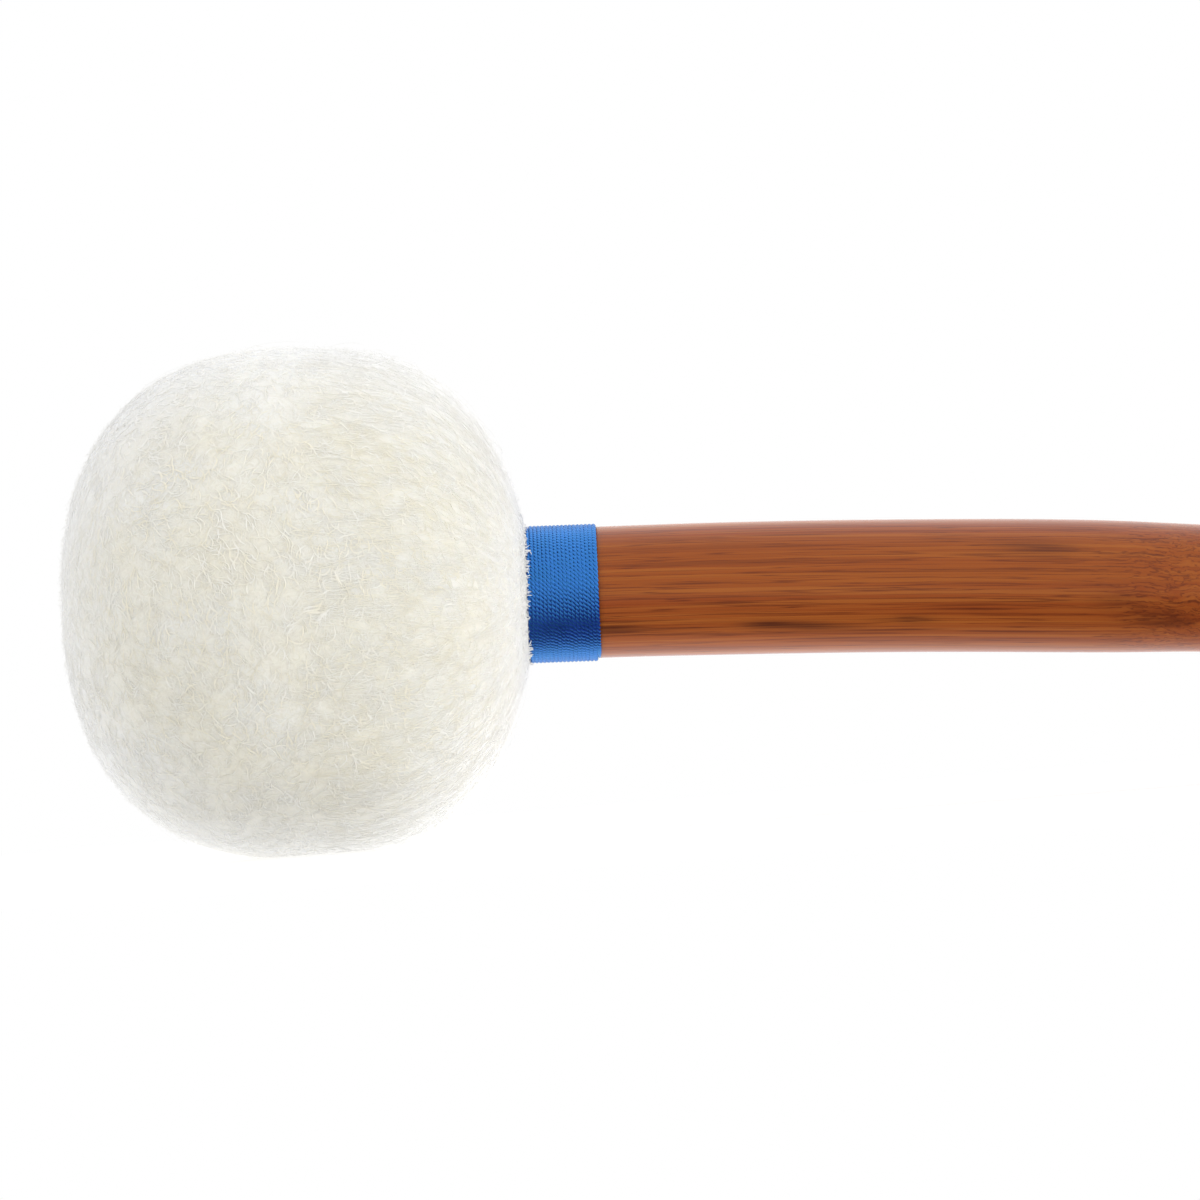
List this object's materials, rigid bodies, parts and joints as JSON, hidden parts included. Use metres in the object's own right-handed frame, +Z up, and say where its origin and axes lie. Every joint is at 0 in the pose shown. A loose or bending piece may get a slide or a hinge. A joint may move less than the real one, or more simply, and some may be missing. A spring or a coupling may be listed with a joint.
{
  "type": "bass drum mallet",
  "caption": "Bass drum mallet with a felted wool ball on a bowed bamboo cane, joined by a blue thread whipping.",
  "frame": {"origin": "on the table under the middle of the mallet as it lies on its ball and its butt", "axes": "+X along the mallet towards its butt, +Z up from the table, +Y to the left when looking towards the butt"},
  "size_m": [0.3794, 0.0804, 0.0798],
  "materials": {
    "wool": "felted lamb's wool, matte",
    "bamboo": "caramelised bamboo under a thin satin lacquer",
    "thread": "smooth wound thread, silky",
    "tape": "cloth tape",
    "cord": "linen cord",
    "beech": "plain turned beech",
    "hard_felt": "pressed felt",
    "soft_felt": "soft felt",
    "steel": "plain steel"
  },
  "bodies": {
    "root": {"cane_shaft": "bamboo", "neck_dowel": "beech", "head_core": "beech", "hard_felt": "hard_felt", "soft_felt": "soft_felt", "tip_felt": "soft_felt", "rear_felt": "soft_felt", "core_washer": "steel", "core_screw": "steel", "gather_cord": "cord", "wrap_tape": "tape", "wrap_winding": "thread", "wool_cover": "wool"}
  },
  "joints": []
}
